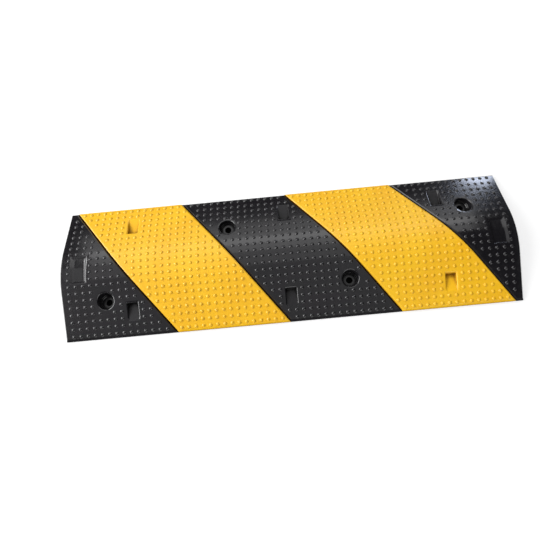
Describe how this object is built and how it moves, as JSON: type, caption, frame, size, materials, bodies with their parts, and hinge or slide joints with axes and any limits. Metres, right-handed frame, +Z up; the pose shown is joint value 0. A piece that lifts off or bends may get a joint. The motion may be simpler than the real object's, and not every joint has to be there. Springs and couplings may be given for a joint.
{
  "type": "speed bump",
  "caption": "Low rubber speed bump module with a rounded crown, studded slopes, flush diagonal inlays, stepped bolt holes and wedge pockets, bolted flat to a road.",
  "frame": {"origin": "middle of the footprint, on the road", "axes": "+X along the bump, +Y across it towards the far slope, +Z up from the road"},
  "size_m": [1, 0.3, 0.0498],
  "materials": {
    "black_rubber": "moulded, satin",
    "yellow_rubber": "moulded, satin",
    "ring_steel": "zinc plated"
  },
  "bodies": {
    "root": {"rubber_body": "black_rubber", "yellow_inlay_left": "yellow_rubber", "yellow_inlay_right": "yellow_rubber", "bolt_ring_near_left": "ring_steel", "bolt_ring_near_right": "ring_steel", "bolt_ring_far_left": "ring_steel", "bolt_ring_far_right": "ring_steel"}
  },
  "joints": []
}
